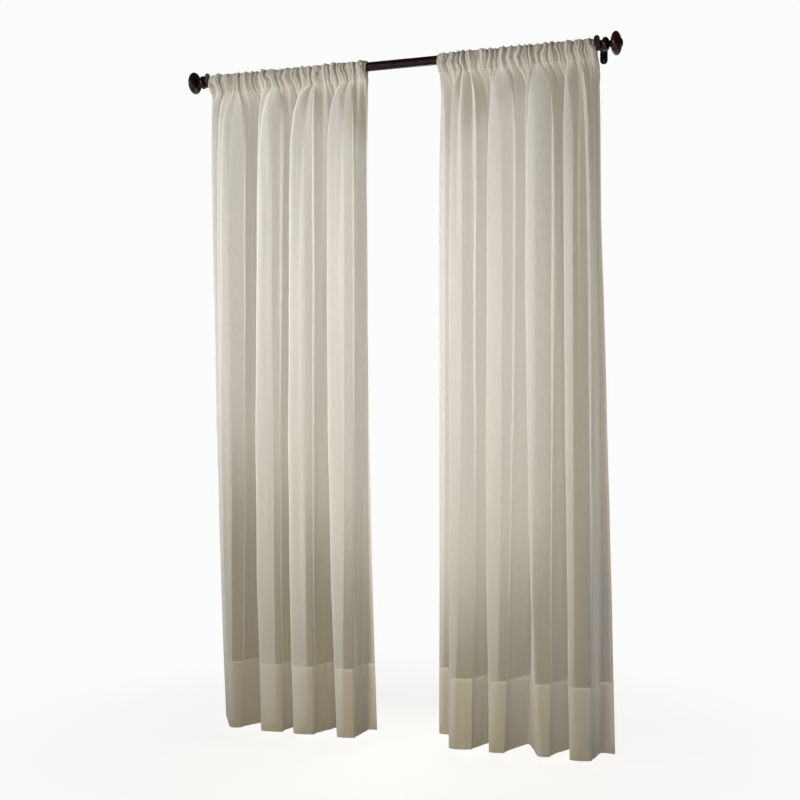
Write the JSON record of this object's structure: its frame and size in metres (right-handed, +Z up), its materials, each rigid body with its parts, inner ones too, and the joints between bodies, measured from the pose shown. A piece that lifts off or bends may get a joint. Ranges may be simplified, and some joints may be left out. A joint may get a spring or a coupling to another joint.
{
  "type": "sheer voile curtain pair and rod",
  "caption": "Pair of sheer rod-pocket voile curtain panels with wide hems, gathered on a dark bronze rod with ball-and-disc finials and wall brackets",
  "frame": {"origin": "middle of the right bracket's wall plate where its back meets the wall, at the height of the rod's axis", "axes": "+Z up, +Y into the wall, +X to the right along the rod as seen from the room"},
  "size_m": [1.4522, 0.1872, 2.1534],
  "materials": {
    "voile": "sheer plain-weave voile, champagne taupe",
    "bronze": "oil-rubbed bronze, satin, nearly black with a red-brown glow",
    "screw": "dark bronzed screw heads"
  },
  "bodies": {
    "root": {"panel_left": "voile", "panel_right": "voile", "rod": "bronze", "finial_left": "bronze", "finial_right": "bronze", "bracket_left": "bronze", "bracket_right": "bronze", "screw_left_upper": "screw", "screw_left_lower": "screw", "screw_right_upper": "screw", "screw_right_lower": "screw"}
  },
  "joints": []
}
